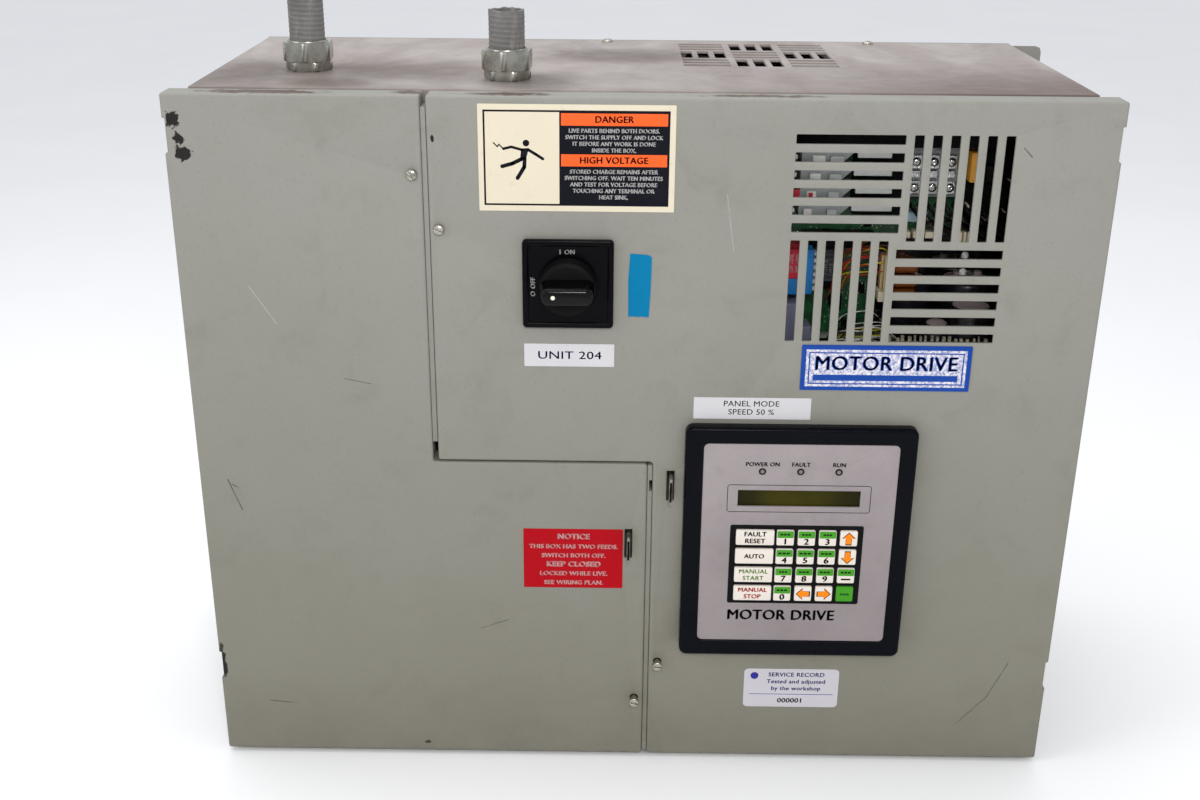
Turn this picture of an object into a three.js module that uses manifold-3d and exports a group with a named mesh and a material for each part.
// Wall-mount variable frequency drive cabinet, in millimetres.
// +X is right, +Y is towards the wall, +Z is up. The cabinet stands on z = 0, and the
// origin is the middle of the whole object's footprint.
import * as THREE from "three";
import { mergeVertices } from "three/addons/utils/BufferGeometryUtils.js";
import Module from "manifold-3d";

const wasm = await Module();
wasm.setup();

// ---------------------------------------------------------------- driving dimensions
const doorsWidth = 660;
const bodyWidth = 632;
const bodyHeight = 538;
const doorsBottom = 4;
const doorsTop = 537;
const overallDepth = 272; // wall plane to the doors' front
const handleReach = 35; // how far the switch grip stands in front of the doors
const doorDepth = 20;
const doorClearance = 1; // between the doors' rear edge and the body
const sheet = 2;

const wallY = (overallDepth + handleReach) / 2;
const frontY = wallY - overallDepth;
const doorBackY = frontY + doorDepth;
const bodyFrontY = doorBackY + doorClearance;
const sideX = bodyWidth / 2;
const edgeX = doorsWidth / 2;
const insideBackY = wallY - sheet;
const insideTopZ = bodyHeight - sheet;

// Seam between the two L-shaped doors: upper run, level run and lower run
const seamUpperX = -150.5;
const seamLowerX = 10.5;
const seamLevelZ = 264.5;
const seamGap = 4;
const levelGap = 1.5;

// Centre posts behind the seam, each with a rib that nearly fills the gap between the doors
const upperPost = { left: -175.5, right: -125.5, low: 280, high: bodyHeight - 16, depth: 16 };
const lowerPost = { left: -13.5, right: 34.5, low: 16, high: 236, depth: 16 };
const haspEar = { low: 230, high: 262, left: 18 };
const ribWidth = 2;
const ribSetback = 1.5;
const lowerRibLow = 6;

// Hinge pins, outside the body's side walls and behind the door pans
const hingeX = sideX + 6.5;
const hingeY = doorBackY + 7;
const hingeLowZ = 82.5;
const hingeHighZ = 507.5;
const hingeSpan = 25;
const pinRadius = 2;
const knuckleRadius = 4.5;
const hingeRunning = 0.4;

// Rotary disconnect handle
const switchX = -51;
const switchZ = 405;
const plateSide = 65;
const plateThickness = 5;
const knobRadius = 20.5;
const knobBaseDepth = 12;
const knobGap = 0.5;
const gripLength = 38;
const gripWidth = 12;
const shaftSide = 8;
const socketSide = 11;

// Keypad unit
const bezel = { left: 36, right: 208, low: 104, high: 298, depth: 10 };
const face = { left: 49.5, right: 195.5, low: 117, high: 285 };
const faceFrontY = frontY - 8;
const faceThickness = 2;
const keyRows = [208, 192, 176, 160];
const keyColumns = [91, 114, 130, 146, 162];
const keyWidths = [29, 13, 13, 13, 13];
const keyHeight = 12.5;
const keyProud = 2;
const keyClearance = 0.3;
const keyFlange = 0.7;
const boardFrontY = frontY - 3;
const keypadBoard = { left: 62, right: 183, low: 148, high: 272, thickness: 1.6 };
const lcdWindow = { left: 76.5, right: 168.5, low: 233.5, high: 247 };
const lcdMargin = 2.5;
const lamps = { places: [94, 122.5, 151], z: 262.5, radius: 2.4, clearance: 0.3 };
const doorOpening = { left: face.left + 4, right: face.right - 4, low: 140, high: face.high - 8 };

// Slotted ventilation, in basket-weave blocks
const doorVent = { left: 106, low: 363, slot: 6, pitch: 12.5, count: 6, length: 74.5, gap: 6.5 };
const topVent = { left: 33.5, front: 14.5, slot: 8.9, pitch: 13.3, count: 3, length: 36, gap: 5.5 };

// Conduit entries in the roof
const conduits = {
  left: { x: -247, y: frontY + 101, top: 608 },
  right: { x: -97, y: frontY + 68, top: 587 },
};
const conduitOuter = 13;
const conduitInner = 10.5;
const fitting = {
  hub: 13.5,
  seatFlats: 30,
  seatTop: 6.8,
  nutFlats: 34,
  nutTop: 21,
  collar: 15,
  collarTop: 22,
  locknutFlats: 31,
  locknutLow: -8,
  locknutTop: -2.5,
  tail: -16,
};
const conduitSeat = 8.5; // how far above the roof the conduit stops inside the gland nut

// Padlock hasps and door screws
const hasps = {
  left: { x: -5, low: 184, high: 209 },
  right: { x: 26, low: 233.5, high: 258.5 },
};
const haspReach = 12;
const haspThickness = 2;
const haspSlot = 6;
const haspEye = 4;
const screws = {
  left_door_upper_screw: { x: -159.5, z: 482.5, proud: 3.5, door: "left" },
  left_door_lower_screw: { x: 1.5, z: 57.5, proud: 9.5, door: "left" },
  right_door_upper_screw: { x: -142, z: 443.5, proud: 3.5, door: "right" },
  right_door_lower_screw: { x: 19.5, z: 91.5, proud: 9.5, door: "right" },
};
const screwHole = 3.3;
const screwLength = 24.5;
const screwHead = { radius: 3.9, height: 3 };
const screwShank = 2.6;
const retainer = { radius: 4.4, from: 11, thickness: 1 };
const driverSlotWidth = 1;

const roofScrews = { left_roof_screw: -26, right_roof_screw: 194 };
const roofScrewY = wallY - 12;

// Fan under the roof vent
const fanX = 93;
const fanY = 74;
const fanSide = 119;
const fanDepth = 25;
const fanBore = 56;
const bladeRadius = 53.5;
const bladeCount = 7;
const fanHub = 18;

// Units inside, from the wall forwards
const heatSink = { left: 60, right: 296, low: 60, high: 480, front: 85.5, base: 10, fins: 9, fin: 4 };
const powerModule = { left: 110, right: 250, low: 190, high: 330, front: 55.5, studRows: [220, 300] };
const studs = { places: [140, 180, 220], radius: 7, height: 6 };
const cans = { places: [207, 257], depths: [-22, 26], radius: 22, low: 262, high: 384 };
const canTray = { left: 180, right: 284, front: -46, back: 50, thickness: 3 };
const choke = { left: 90, right: 210, low: 2, high: 118, front: 10, back: 70, yoke: 16 };
const chokeCoil = { left: 122, right: 178, low: 26, high: 94, front: 0, back: 80 };
const mainBoard = { front: -48, thickness: 1.6, left: 84, right: 280, low: 336, high: 526 };
const mainBoardStep = { x: 176, z: 424 };
const boardPosts = [
  [92, 344],
  [168, 344],
  [92, 470],
  [272, 470],
];
const relays = { left: 98, width: 22, pitch: 26, count: 3, low: 452, high: 486, height: 24, base: 8 };
const terminals = { left: 188, right: 262, low: 446, high: 508, rows: [450, 471, 492], rowHeight: 13 };
const contactor = { left: -290, right: -210, low: 210, high: 300, front: 75.5, nose: 20, inset: 10 };

// ---------------------------------------------------------------- finishes
const finish = {
  paint: { color: 0x96968c, roughness: 0.55, metalness: 0.0 },
  roofPaint: { color: 0xaea39e, roughness: 0.6, metalness: 0.0 },
  zinc: { color: 0xb5b5aa, roughness: 0.35, metalness: 1.0 },
  steel: { color: 0x9a9a98, roughness: 0.4, metalness: 1.0 },
  aluminium: { color: 0xb9bbbd, roughness: 0.45, metalness: 1.0 },
  conduit: { color: 0x64625f, roughness: 0.7, metalness: 0.0 },
  black: { color: 0x17171a, roughness: 0.45, metalness: 0.0 },
  silver: { color: 0xafa8a8, roughness: 0.5, metalness: 0.0 },
  board: { color: 0x1f5a34, roughness: 0.5, metalness: 0.0 },
  grey: { color: 0x8b8d8c, roughness: 0.5, metalness: 0.0 },
  keyWhite: { color: 0xe4e2da, roughness: 0.5, metalness: 0.0 },
  keyGreen: { color: 0x66a978, roughness: 0.5, metalness: 0.0 },
  keyOrange: { color: 0xd9874a, roughness: 0.5, metalness: 0.0 },
};

// ---------------------------------------------------------------- solids
function solidOf(geometry) {
  const bare = geometry.clone();
  bare.deleteAttribute("normal");
  bare.deleteAttribute("uv");
  const merged = mergeVertices(bare, 1e-4);
  return new wasm.Manifold(
    new wasm.Mesh({
      numProp: 3,
      vertProperties: merged.attributes.position.array,
      triVerts: new Uint32Array(merged.index.array),
    }),
  );
}

function geometryOf(solid) {
  const mesh = solid.getMesh();
  const geometry = new THREE.BufferGeometry();
  geometry.setAttribute("position", new THREE.BufferAttribute(mesh.vertProperties, 3));
  geometry.setIndex(new THREE.BufferAttribute(mesh.triVerts, 1));
  return geometry;
}

// A box between two corners. Its two x values may come in either order, for pieces built on both sides
function box(x0, x1, y0, y1, z0, z1) {
  const geometry = new THREE.BoxGeometry(Math.abs(x1 - x0), y1 - y0, z1 - z0);
  geometry.translate((x0 + x1) / 2, (y0 + y1) / 2, (z0 + z1) / 2);
  return solidOf(geometry);
}

// A round bar along one axis, from one end to the other
function bar(axis, radius, from, to, centre, sides = 24) {
  const geometry = new THREE.CylinderGeometry(radius, radius, to - from, sides);
  geometry.rotateY(Math.PI / sides);
  if (axis === "x") geometry.rotateZ(-Math.PI / 2);
  if (axis === "z") geometry.rotateX(Math.PI / 2);
  const middle = (from + to) / 2;
  if (axis === "x") geometry.translate(middle, centre[0], centre[1]);
  if (axis === "y") geometry.translate(centre[0], middle, centre[1]);
  if (axis === "z") geometry.translate(centre[0], centre[1], middle);
  return solidOf(geometry);
}

// A closed outline through corner points, each rounded by its own radius
function roundedOutline(corners) {
  const shape = new THREE.Shape();
  corners.forEach(([x, z, radius], i) => {
    const before = corners[(i + corners.length - 1) % corners.length];
    const after = corners[(i + 1) % corners.length];
    const corner = new THREE.Vector2(x, z);
    const fromBefore = new THREE.Vector2(before[0], before[1]).sub(corner).setLength(radius);
    const toAfter = new THREE.Vector2(after[0], after[1]).sub(corner).setLength(radius);
    const start = corner.clone().add(fromBefore);
    const end = corner.clone().add(toAfter);
    if (i === 0) shape.moveTo(start.x, start.y);
    else shape.lineTo(start.x, start.y);
    shape.quadraticCurveTo(x, z, end.x, end.y);
  });
  shape.closePath();
  return shape;
}

// An outline drawn in X and Z, made solid between two depths in Y
function slab(outline, y0, y1, curveSegments = 2) {
  const geometry = new THREE.ExtrudeGeometry(outline, {
    depth: y1 - y0,
    bevelEnabled: false,
    curveSegments,
  });
  geometry.rotateX(Math.PI / 2);
  geometry.translate(0, y1, 0);
  return solidOf(geometry);
}

function roundedSlab(x0, x1, z0, z1, radius, y0, y1) {
  const corners = [
    [x0, z0, radius],
    [x1, z0, radius],
    [x1, z1, radius],
    [x0, z1, radius],
  ];
  return slab(roundedOutline(corners), y0, y1);
}

const join = (first, ...rest) => rest.reduce((sum, solid) => sum.add(solid), first);
const cut = (first, ...rest) => rest.reduce((left, solid) => left.subtract(solid), first);

const drive = new THREE.Group();
drive.name = "variable_frequency_drive";

function addPart(name, solid, look) {
  const part = new THREE.Mesh(geometryOf(solid), new THREE.MeshStandardMaterial(look));
  part.name = name;
  drive.add(part);
}

// Slots of one basket-weave block, as rectangles in the block's own two directions
function weaveBlock(vent, u0, v0, alongU) {
  const rectangles = [];
  for (let i = 0; i < vent.count; i += 1) {
    const offset = i * vent.pitch;
    if (alongU) rectangles.push([u0, u0 + vent.length, v0 + offset, v0 + offset + vent.slot]);
    else rectangles.push([u0 + offset, u0 + offset + vent.slot, v0, v0 + vent.length]);
  }
  return rectangles;
}

// ---------------------------------------------------------------- cabinet body
function makeCabinet() {
  const flange = 14;
  const backPanel = join(
    box(-sideX, sideX, insideBackY, wallY, 0, bodyHeight),
    earPlate(1, 476, 536),
    earPlate(1, 8, 68),
    earPlate(-1, 8, 68),
  );
  const earHoles = [
    [sideX + 14, 506],
    [sideX + 14, 38],
    [-sideX - 14, 38],
  ].map(([x, z]) => bar("y", 4.5, insideBackY - 2, wallY + 2, [x, z], 20));
  addPart("back_panel", cut(backPanel, ...earHoles), finish.paint);

  for (const [name, side] of [
    ["left_side_panel", -1],
    ["right_side_panel", 1],
  ]) {
    const outer = side * sideX;
    const inner = side * (sideX - sheet);
    const lip = side * (sideX - flange);
    const wall = box(outer, inner, bodyFrontY, insideBackY, sheet, insideTopZ);
    const fold = box(outer, lip, bodyFrontY, bodyFrontY + sheet, sheet, insideTopZ);
    addPart(name, join(wall, fold), finish.paint);
  }

  const lipStart = sideX - flange - 2;
  const bottom = join(
    box(-sideX, sideX, bodyFrontY, insideBackY, 0, sheet),
    box(-lipStart, lipStart, bodyFrontY, bodyFrontY + sheet, 0, flange),
  );
  addPart("bottom_panel", bottom, finish.paint);
  addPart("top_panel", makeTopPanel(lipStart, flange), finish.roofPaint);
}

function earPlate(side, low, high) {
  const outer = side * (sideX + 28);
  const inner = side * (sideX - 6);
  return roundedSlab(Math.min(outer, inner), Math.max(outer, inner), low, high, 5, insideBackY, wallY);
}

function makeTopPanel(lipStart, flange) {
  const roof = join(
    box(-sideX, sideX, bodyFrontY, insideBackY, insideTopZ, bodyHeight),
    box(-lipStart, lipStart, bodyFrontY, bodyFrontY + sheet, bodyHeight - flange, bodyHeight),
  );
  const cuts = [];
  const blockPitch = topVent.length + topVent.gap;
  for (let row = 0; row < 3; row += 1) {
    for (let column = 0; column < 3; column += 1) {
      const u0 = topVent.left + column * blockPitch;
      const v0 = topVent.front + row * blockPitch;
      for (const [x0, x1, y0, y1] of weaveBlock(topVent, u0, v0, (row + column) % 2 === 0)) {
        cuts.push(box(x0, x1, y0, y1, insideTopZ - 1, bodyHeight + 1));
      }
    }
  }
  for (const x of Object.values(roofScrews)) {
    cuts.push(bar("z", 2.8, insideTopZ - 1, bodyHeight + 1, [x, roofScrewY], 12));
  }
  for (const { x, y } of Object.values(conduits)) {
    cuts.push(bar("z", 14.5, insideTopZ - 2, bodyHeight + 2, [x, y], 24));
  }
  return cut(roof, ...cuts);
}

// Two screws hold the roof to the back panel's flange
function makeRoofScrews() {
  for (const [name, x] of Object.entries(roofScrews)) {
    const head = join(
      bar("z", 4.5, bodyHeight, bodyHeight + 2.5, [x, roofScrewY], 16),
      bar("z", 2.4, bodyHeight - 8, bodyHeight + 1, [x, roofScrewY], 12),
    );
    const w = driverSlotWidth / 2;
    const driverSlot = box(x - 5, x + 5, roofScrewY - w, roofScrewY + w, bodyHeight + 1.5, bodyHeight + 3);
    addPart(name, cut(head, driverSlot), finish.zinc);
  }
}

// Centre posts that the doors close on; the lower one carries the two padlock hasps
function channelPost({ left, right, low, high, depth }) {
  const y0 = bodyFrontY;
  return join(
    box(left, right, y0, y0 + sheet, low, high),
    box(left, left + sheet, y0, y0 + depth, low, high),
    box(right - sheet, right, y0, y0 + depth, low, high),
  );
}

function seamRib(x, low, high) {
  return box(x - ribWidth / 2, x + ribWidth / 2, frontY + ribSetback, bodyFrontY + sheet, low, high);
}

function makeMullions() {
  const y0 = bodyFrontY;
  const y1 = bodyFrontY + sheet;
  const holes = Object.values(screws).map(({ x, z }) => bar("y", 4, y0 - 2, y1 + 2, [x, z], 16));
  const upperRib = seamRib(seamUpperX, upperPost.low, upperPost.high);
  addPart("upper_mullion", join(cut(channelPost(upperPost), ...holes), upperRib), finish.paint);

  const ear = box(haspEar.left, lowerPost.right, y0, y1, haspEar.low, haspEar.high);
  const tabs = Object.values(hasps).map(({ x, low, high }) => {
    const t = haspThickness / 2;
    const tab = box(x - t, x + t, frontY - haspReach, y1, low + 2, high - 2);
    const eyeCentre = [frontY - haspReach / 2, (low + high) / 2];
    return cut(tab, bar("x", haspEye, x - haspEye, x + haspEye, eyeCentre, 20));
  });
  // The lower rib's toe passes in front of the bottom panel's flange
  const lowerRib = seamRib(seamLowerX, lowerPost.low, lowerPost.high);
  const r = ribWidth / 2;
  const toe = box(seamLowerX - r, seamLowerX + r, frontY + ribSetback, y0, lowerRibLow, lowerPost.low + 1);
  const post = cut(join(channelPost(lowerPost), ear), ...holes);
  addPart("lower_mullion", join(post, lowerRib, toe, ...tabs), finish.paint);
}

// ---------------------------------------------------------------- conduit entries
// A hexagonal prism with a flat to the front, or a corner when it is turned by half a side
function hexagon(acrossFlats, z0, z1, [x, y], turn = 0) {
  const radius = acrossFlats / Math.sqrt(3);
  const geometry = new THREE.CylinderGeometry(radius, radius, z1 - z0, 6);
  geometry.rotateY(Math.PI / 6 + turn);
  geometry.rotateX(Math.PI / 2);
  geometry.translate(x, y, (z0 + z1) / 2);
  return solidOf(geometry);
}

function makeConduits() {
  const seat = bodyHeight;
  for (const [side, { x, y, top }] of Object.entries(conduits)) {
    const centre = [x, y];
    const body = join(
      bar("z", fitting.hub, seat + fitting.tail, seat + fitting.nutTop, centre),
      hexagon(fitting.seatFlats, seat, seat + fitting.seatTop, centre),
      hexagon(fitting.nutFlats, seat + fitting.seatTop - 0.1, seat + fitting.nutTop, centre, Math.PI / 6),
      bar("z", fitting.collar, seat + fitting.nutTop - 1, seat + fitting.collarTop, centre),
      hexagon(fitting.locknutFlats, seat + fitting.locknutLow, seat + fitting.locknutTop, centre),
    );
    const socket = bar("z", conduitOuter + 0.4, seat + conduitSeat - 0.5, seat + fitting.collarTop + 1, centre);
    const bore = bar("z", conduitInner, seat + fitting.tail - 1, seat + fitting.collarTop + 1, centre);
    addPart(`${side}_conduit_fitting`, cut(body, socket, bore), finish.zinc);

    const tube = bar("z", conduitOuter, seat + conduitSeat, top, centre);
    const hollow = bar("z", conduitInner, seat + conduitSeat - 1, top + 1, centre);
    addPart(`${side}_conduit`, cut(tube, hollow), finish.conduit);
  }
}

// ---------------------------------------------------------------- hinges
function hingePlaces() {
  const places = [];
  for (const side of [-1, 1]) {
    for (const z of [hingeLowZ, hingeHighZ]) places.push({ side, z });
  }
  return places;
}

// The body's half: a leaf on the side wall, two knuckles and the pin
function makeHinges() {
  for (const { side, z } of hingePlaces()) {
    const x = side * hingeX;
    const low = z - hingeSpan / 2;
    const high = z + hingeSpan / 2;
    const wall = side * sideX;
    const leafOuter = side * (sideX + 2);
    const leaf = box(wall, leafOuter, hingeY - 3, hingeY + 24, low, high);
    const neck = (z0, z1) =>
      join(
        bar("z", knuckleRadius, z0, z1, [x, hingeY], 12),
        box(wall, x, hingeY, hingeY + 4, z0, z1),
      );
    const half = join(
      leaf,
      neck(low, low + 7),
      neck(high - 7, high),
      bar("z", pinRadius, low, high, [x, hingeY], 12),
    );
    const place = `${side < 0 ? "left" : "right"}_${z === hingeLowZ ? "lower" : "upper"}_hinge`;
    // Room for the door's knuckle to turn, beside the leaf
    const room = cut(
      bar("z", knuckleRadius + 0.6, low + 7, high - 7, [x, hingeY], 12),
      bar("z", pinRadius, low, high, [x, hingeY], 12),
    );
    addPart(place, cut(half, room), finish.steel);
  }
}

// The door's half: a web on the inside of the door's face, and the middle knuckle
function doorKnuckle(side, z) {
  const x = side * hingeX;
  const low = z - hingeSpan / 2 + 7 + hingeRunning;
  const high = z + hingeSpan / 2 - 7 - hingeRunning;
  const whole = join(
    bar("z", knuckleRadius, low, high, [x, hingeY], 12),
    box(x - 1.5, x + 1.5, frontY + sheet - 0.5, hingeY, low, high),
  );
  return cut(whole, bar("z", pinRadius + hingeRunning, low - 1, high + 1, [x, hingeY], 12));
}

// ---------------------------------------------------------------- doors
const innerRadius = 4;

function leftDoorOutline(inset) {
  const upperEdge = seamUpperX - seamGap / 2 - inset;
  const lowerEdge = seamLowerX - seamGap / 2 - inset;
  const level = seamLevelZ - levelGap / 2 - inset;
  const outer = -edgeX + inset;
  return roundedOutline([
    [outer, doorsBottom + inset, innerRadius],
    [lowerEdge, doorsBottom + inset, innerRadius],
    [lowerEdge, level, innerRadius + 1],
    [upperEdge, level, innerRadius],
    [upperEdge, doorsTop - inset, innerRadius],
    [outer, doorsTop - inset, innerRadius],
  ]);
}

function rightDoorOutline(inset) {
  const upperEdge = seamUpperX + seamGap / 2 + inset;
  const lowerEdge = seamLowerX + seamGap / 2 + inset;
  const level = seamLevelZ + levelGap / 2 + inset;
  const outer = edgeX - inset;
  return roundedOutline([
    [lowerEdge, doorsBottom + inset, innerRadius],
    [outer, doorsBottom + inset, innerRadius],
    [outer, doorsTop - inset, innerRadius],
    [upperEdge, doorsTop - inset, innerRadius],
    [upperEdge, level, innerRadius],
    [lowerEdge, level, innerRadius + 1],
  ]);
}

function doorPan(outline) {
  return cut(
    slab(outline(0), frontY, doorBackY),
    slab(outline(sheet), frontY + sheet, doorBackY + 1),
  );
}

function hingeNotch(side, z) {
  const inner = side * (edgeX - 2.3);
  const outer = side * (edgeX + 1);
  return box(inner, outer, frontY - 1, doorBackY + 1, z - hingeSpan / 2, z + hingeSpan / 2);
}

function haspCut({ x, low, high }) {
  return box(x - haspSlot / 2, x + haspSlot / 2, frontY - 1, frontY + sheet + 1, low, high);
}

function screwHoles(door) {
  return Object.values(screws)
    .filter((screw) => screw.door === door)
    .map(({ x, z }) => bar("y", screwHole, frontY - 1, frontY + sheet + 1, [x, z], 16));
}

function doorVentCuts() {
  const cuts = [];
  const span = doorVent.slot + doorVent.pitch * (doorVent.count - 1);
  const rightColumn = doorVent.left + doorVent.length + doorVent.gap;
  const rightLow = doorVent.left + span + doorVent.gap;
  const upperRow = doorVent.low + doorVent.length + doorVent.gap;
  const upperRightRow = doorVent.low + span + doorVent.gap;
  const blocks = [
    weaveBlock(doorVent, doorVent.left, upperRow, true),
    weaveBlock(doorVent, rightColumn, upperRightRow, false),
    weaveBlock(doorVent, doorVent.left, doorVent.low, false),
    weaveBlock(doorVent, rightLow, doorVent.low, true),
  ];
  return blocks.flat().map(([x0, x1, z0, z1]) => box(x0, x1, frontY - 1, frontY + sheet + 1, z0, z1));
}

function keypadOpening(y0, y1) {
  const { left, right, low, high } = doorOpening;
  return roundedSlab(left, right, low, high, 3, y0, y1);
}

function makeDoors() {
  const left = join(
    cut(
      doorPan(leftDoorOutline),
      hingeNotch(-1, hingeLowZ),
      hingeNotch(-1, hingeHighZ),
      haspCut(hasps.left),
      ...screwHoles("left"),
    ),
    doorKnuckle(-1, hingeLowZ),
    doorKnuckle(-1, hingeHighZ),
  );
  addPart("left_door", left, finish.paint);

  const right = join(
    cut(
      doorPan(rightDoorOutline),
      hingeNotch(1, hingeLowZ),
      hingeNotch(1, hingeHighZ),
      haspCut(hasps.right),
      ...screwHoles("right"),
      ...doorVentCuts(),
      bar("y", 13, frontY - 1, frontY + sheet + 1, [switchX, switchZ], 24),
      keypadOpening(frontY - 1, frontY + sheet + 1),
    ),
    doorKnuckle(1, hingeLowZ),
    doorKnuckle(1, hingeHighZ),
  );
  addPart("right_door", right, finish.paint);

  for (const [name, { x, z, proud }] of Object.entries(screws)) {
    const headFront = frontY - proud;
    const headBack = headFront + screwHead.height;
    const collar = headBack + retainer.from;
    const screw = join(
      bar("y", screwHead.radius, headFront, headBack, [x, z], 16),
      bar("y", screwShank, headBack - 1, headBack + screwLength, [x, z], 12),
      bar("y", retainer.radius, collar, collar + retainer.thickness, [x, z], 12),
    );
    const w = driverSlotWidth / 2;
    const driverSlot = box(x - 5, x + 5, headFront - 1, headFront + 1, z - w, z + w);
    addPart(name, cut(screw, driverSlot), finish.zinc);
  }
}

// ---------------------------------------------------------------- disconnect switch
function makeSwitch() {
  const half = plateSide / 2;
  const plateBore = bar("y", 14, frontY - plateThickness - 1, frontY + 1, [switchX, switchZ], 24);
  const plate = roundedSlab(
    switchX - half,
    switchX + half,
    switchZ - half,
    switchZ + half,
    3,
    frontY - plateThickness,
    frontY,
  );
  addPart("switch_plate", cut(plate, plateBore), finish.black);

  const baseBack = frontY - plateThickness - knobGap;
  const baseFront = baseBack - knobBaseDepth;
  const gripFront = frontY - handleReach;
  const knob = join(
    bar("y", knobRadius, baseFront, baseBack, [switchX, switchZ], 40),
    roundedSlab(
      switchX - gripLength / 2,
      switchX + gripLength / 2,
      switchZ - gripWidth / 2,
      switchZ + gripWidth / 2,
      3,
      gripFront,
      baseFront + 1,
    ),
  );
  const s = socketSide / 2;
  const socket = box(switchX - s, switchX + s, baseFront + 2, baseBack + 1, switchZ - s, switchZ + s);
  addPart("switch_knob", cut(knob, socket), finish.black);

  const switchFrontY = 10;
  const t = shaftSide / 2;
  const shaft = box(switchX - t, switchX + t, baseBack - 7, switchFrontY + 20, switchZ - t, switchZ + t);
  addPart("switch_shaft", shaft, finish.zinc);

  const left = switchX - 40;
  const right = switchX + 40;
  const legFront = switchFrontY + 48;
  const block = join(
    box(left, right, switchFrontY, legFront + 2, switchZ - 50, switchZ + 50),
    box(left, left + 12, legFront, insideBackY, switchZ - 40, switchZ + 40),
    box(right - 12, right, legFront, insideBackY, switchZ - 40, switchZ + 40),
  );
  const shaftBore = bar("y", 7, switchFrontY - 1, switchFrontY + 24, [switchX, switchZ], 20);
  addPart("disconnect_switch", cut(block, shaftBore), finish.black);
}

// ---------------------------------------------------------------- keypad
function keyRectangle(row, column, grow) {
  const x = keyColumns[column];
  const z = keyRows[row];
  const halfWidth = keyWidths[column] / 2 + grow;
  const halfHeight = keyHeight / 2 + grow;
  return [x - halfWidth, x + halfWidth, z - halfHeight, z + halfHeight];
}

function makeKeypad() {
  const bezelFrontY = frontY - bezel.depth;
  const seatY = faceFrontY + faceThickness;
  const frame = cut(
    roundedSlab(bezel.left, bezel.right, bezel.low, bezel.high, 6, bezelFrontY, frontY),
    roundedSlab(face.left, face.right, face.low, face.high, 4, bezelFrontY - 1, seatY),
    keypadOpening(bezelFrontY, frontY + 1),
  );
  addPart("keypad_bezel", frame, finish.black);

  const gap = 0.3;
  const windows = [];
  for (let row = 0; row < keyRows.length; row += 1) {
    for (let column = 0; column < keyColumns.length; column += 1) {
      const [x0, x1, z0, z1] = keyRectangle(row, column, keyClearance);
      windows.push(box(x0, x1, faceFrontY - 1, faceFrontY + faceThickness + 1, z0, z1));
    }
  }
  const y0 = faceFrontY - 1;
  const y1 = faceFrontY + faceThickness + 1;
  const displayWindow = box(lcdWindow.left, lcdWindow.right, y0, y1, lcdWindow.low, lcdWindow.high);
  const lampHoles = lamps.places.map((x) => {
    return bar("y", lamps.radius + lamps.clearance, y0, y1, [x, lamps.z], 16);
  });
  const facePlate = cut(
    roundedSlab(
      face.left + gap,
      face.right - gap,
      face.low + gap,
      face.high - gap,
      4,
      faceFrontY,
      faceFrontY + faceThickness - gap,
    ),
    displayWindow,
    ...lampHoles,
    ...windows,
  );
  addPart("keypad_plate", facePlate, finish.silver);

  const behindFace = faceFrontY + faceThickness + gap;
  const { left, right, low, high, thickness } = keypadBoard;
  const board = join(
    box(left, right, boardFrontY, boardFrontY + thickness, low, high),
    box(
      lcdWindow.left - lcdMargin,
      lcdWindow.right + lcdMargin,
      behindFace,
      boardFrontY + 1,
      lcdWindow.low - lcdMargin,
      lcdWindow.high + lcdMargin,
    ),
    ...lamps.places.map((x) => {
      return bar("y", lamps.radius, faceFrontY - 0.5, boardFrontY + 1, [x, lamps.z], 16);
    }),
  );
  addPart("display_board", board, finish.board);

  for (let row = 0; row < keyRows.length; row += 1) {
    for (let column = 0; column < keyColumns.length; column += 1) makeKey(row, column);
  }
}

function makeKey(row, column) {
  const [x0, x1, z0, z1] = keyRectangle(row, column, 0);
  const [fx0, fx1, fz0, fz1] = keyRectangle(row, column, keyFlange);
  const capBack = faceFrontY + faceThickness;
  const key = join(
    roundedSlab(x0, x1, z0, z1, 1.5, faceFrontY - keyProud, capBack + 0.5),
    box(fx0, fx1, capBack + 0.4, capBack + 1.4, fz0, fz1),
  );
  let look = finish.keyWhite;
  if (column > 0 && row < 3 && column < 4) look = finish.keyGreen;
  if (column === 4 && row < 2) look = finish.keyOrange;
  if (row === 3 && (column === 2 || column === 3)) look = finish.keyOrange;
  addPart(`key_${row + 1}_${column + 1}`, key, look);
}

// ---------------------------------------------------------------- power electronics
function makeHeatSink() {
  const { left, right, low, high, front, base, fins, fin } = heatSink;
  const parts = [box(left, right, front, front + base, low, high)];
  const finPitch = (right - left - fin) / (fins - 1);
  for (let i = 0; i < fins; i += 1) {
    const x = left + i * finPitch;
    parts.push(box(x, x + fin, front + base - 1, insideBackY, low, high));
  }
  addPart("heat_sink", join(...parts), finish.aluminium);

  const module = powerModule;
  const studEnd = module.front - studs.height;
  const terminalStuds = module.studRows.flatMap((z) =>
    studs.places.map((x) => bar("y", studs.radius, studEnd, module.front + 1, [x, z], 10)),
  );
  const body = box(module.left, module.right, module.front, front, module.low, module.high);
  addPart("power_module", join(body, ...terminalStuds), finish.black);
}

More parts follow.
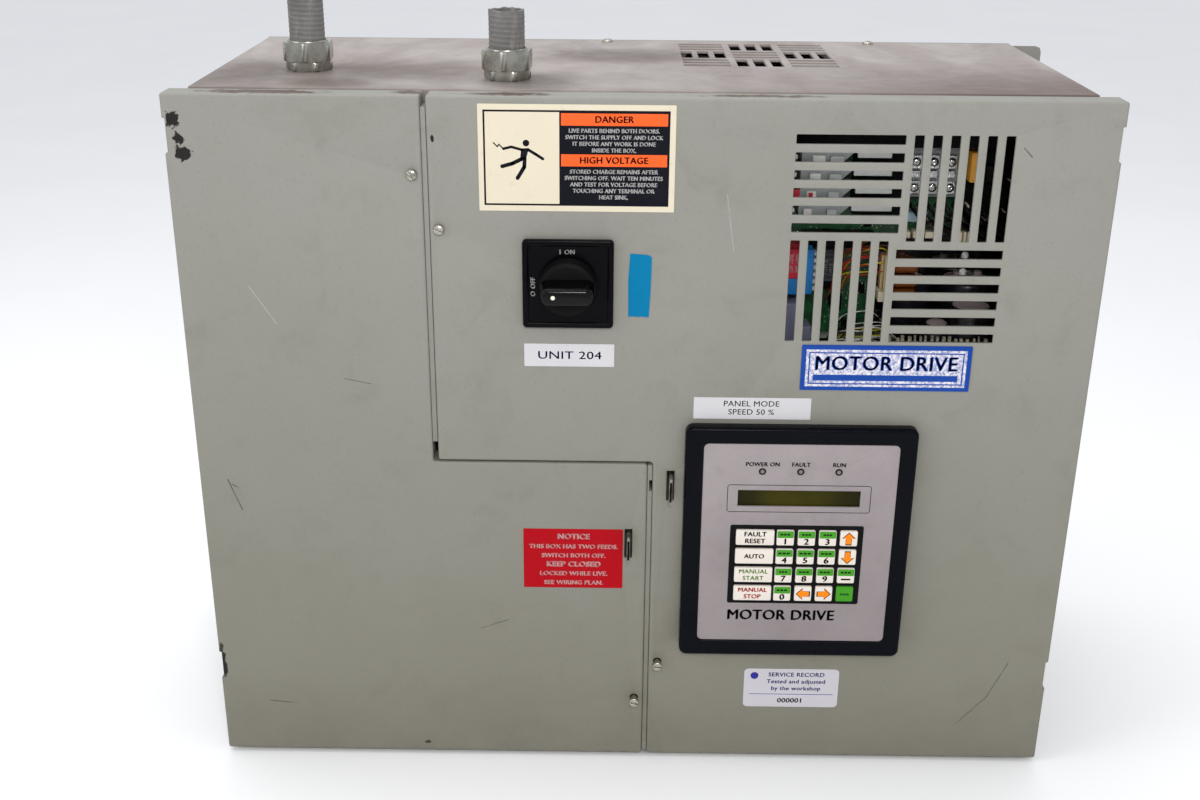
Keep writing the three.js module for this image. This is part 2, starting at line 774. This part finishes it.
// Four electrolytic cans on a tray that reaches the right side wall
function makeCapacitors() {
  const { left, right, front, back, thickness } = canTray;
  const low = cans.low - thickness;
  const high = cans.low + 1;
  const bracketEnd = sideX - sheet;
  const parts = [
    box(left, right, front, back, low, high),
    box(right - 8, bracketEnd, -20, 24, low, high),
  ];
  for (const x of cans.places) {
    for (const y of cans.depths) {
      parts.push(bar("z", cans.radius, cans.low, cans.high, [x, y], 20));
      for (const screwX of [x - 8, x + 8]) {
        parts.push(bar("z", 4, cans.high - 1, cans.high + 5, [screwX, y], 8));
      }
    }
  }
  addPart("capacitor_bank", join(...parts), finish.black);
}

function makeChoke() {
  const { left, right, low, high, front, back, yoke } = choke;
  const middle = (left + right) / 2;
  const core = join(
    box(left, right, front, back, low, low + yoke),
    box(left, right, front, back, high - yoke, high),
    box(left, left + yoke + 2, front, back, low, high),
    box(right - yoke - 2, right, front, back, low, high),
    box(middle - yoke, middle + yoke, front, back, low, high),
  );
  const coil = chokeCoil;
  const winding = box(coil.left, coil.right, coil.front, coil.back, coil.low, coil.high);
  addPart("dc_choke", join(core, winding), finish.steel);
}

// Main printed board behind the door's grille, on posts from the heat sink
function makeControlBoard() {
  const { front, thickness, left, right, low, high } = mainBoard;
  const tall = box(left, mainBoardStep.x, front, front + thickness, low, high);
  const wide = box(mainBoardStep.x - 6, right, front, front + thickness, mainBoardStep.z, high);
  const posts = boardPosts.map(([x, z]) => bar("y", 3, front + 1, heatSink.front, [x, z], 12));
  addPart("control_board", join(tall, wide, ...posts), finish.board);

  const relayEnd = relays.left + relays.pitch * (relays.count - 1) + relays.width;
  const relayParts = [box(relays.left, relayEnd, front - relays.base, front, relays.low, relays.high)];
  for (let i = 0; i < relays.count; i += 1) {
    const x = relays.left + i * relays.pitch;
    relayParts.push(box(x, x + relays.width, front - relays.height, front, relays.low, relays.high));
  }
  addPart("relay_block", join(...relayParts), finish.grey);

  const strips = terminals.rows.map((z) => {
    return box(terminals.left, terminals.right, front - 20, front - 8, z, z + terminals.rowHeight);
  });
  const rail = box(terminals.left, terminals.right, front - 12, front, terminals.low, terminals.high);
  addPart("terminal_block", join(rail, ...strips), finish.grey);
}

// Contactor on the wiring side
function makeContactor() {
  const { left, right, low, high, front, nose, inset } = contactor;
  const head = box(left + inset, right - inset, front - nose, front + 1, low + 15, high - 15);
  addPart("contactor", join(box(left, right, front, insideBackY, low, high), head), finish.grey);
}

function makeFan() {
  const half = fanSide / 2;
  const low = insideTopZ - fanDepth;
  const shell = cut(
    box(fanX - half, fanX + half, fanY - half, fanY + half, low, insideTopZ),
    bar("z", fanBore, low - 1, insideTopZ + 1, [fanX, fanY], 40),
  );
  const hubTop = low + 3;
  const spider = join(
    bar("z", fanHub + 1, low, hubTop, [fanX, fanY], 24),
    box(fanX - fanBore - 1, fanX + fanBore + 1, fanY - 3, fanY + 3, low, hubTop),
    box(fanX - 3, fanX + 3, fanY - fanBore - 1, fanY + fanBore + 1, low, hubTop),
  );
  addPart("fan_housing", join(shell, spider), finish.black);

  const blades = [];
  const bladeLow = hubTop + 2;
  for (let i = 0; i < bladeCount; i += 1) {
    const blade = new THREE.BoxGeometry(bladeRadius - 14, 2, 20);
    blade.rotateX(0.75);
    blade.translate(14 + (bladeRadius - 14) / 2, 0, bladeLow + 9);
    blade.rotateZ((2 * Math.PI * i) / bladeCount);
    blade.translate(fanX, fanY, 0);
    blades.push(solidOf(blade));
  }
  const hub = bar("z", fanHub, bladeLow, bladeLow + 18, [fanX, fanY], 28);
  addPart("fan_rotor", join(hub, ...blades), finish.black);
}

makeCabinet();
makeRoofScrews();
makeMullions();
makeConduits();
makeHinges();
makeDoors();
makeSwitch();
makeKeypad();
makeHeatSink();
makeCapacitors();
makeChoke();
makeControlBoard();
makeContactor();
makeFan();

export default drive;
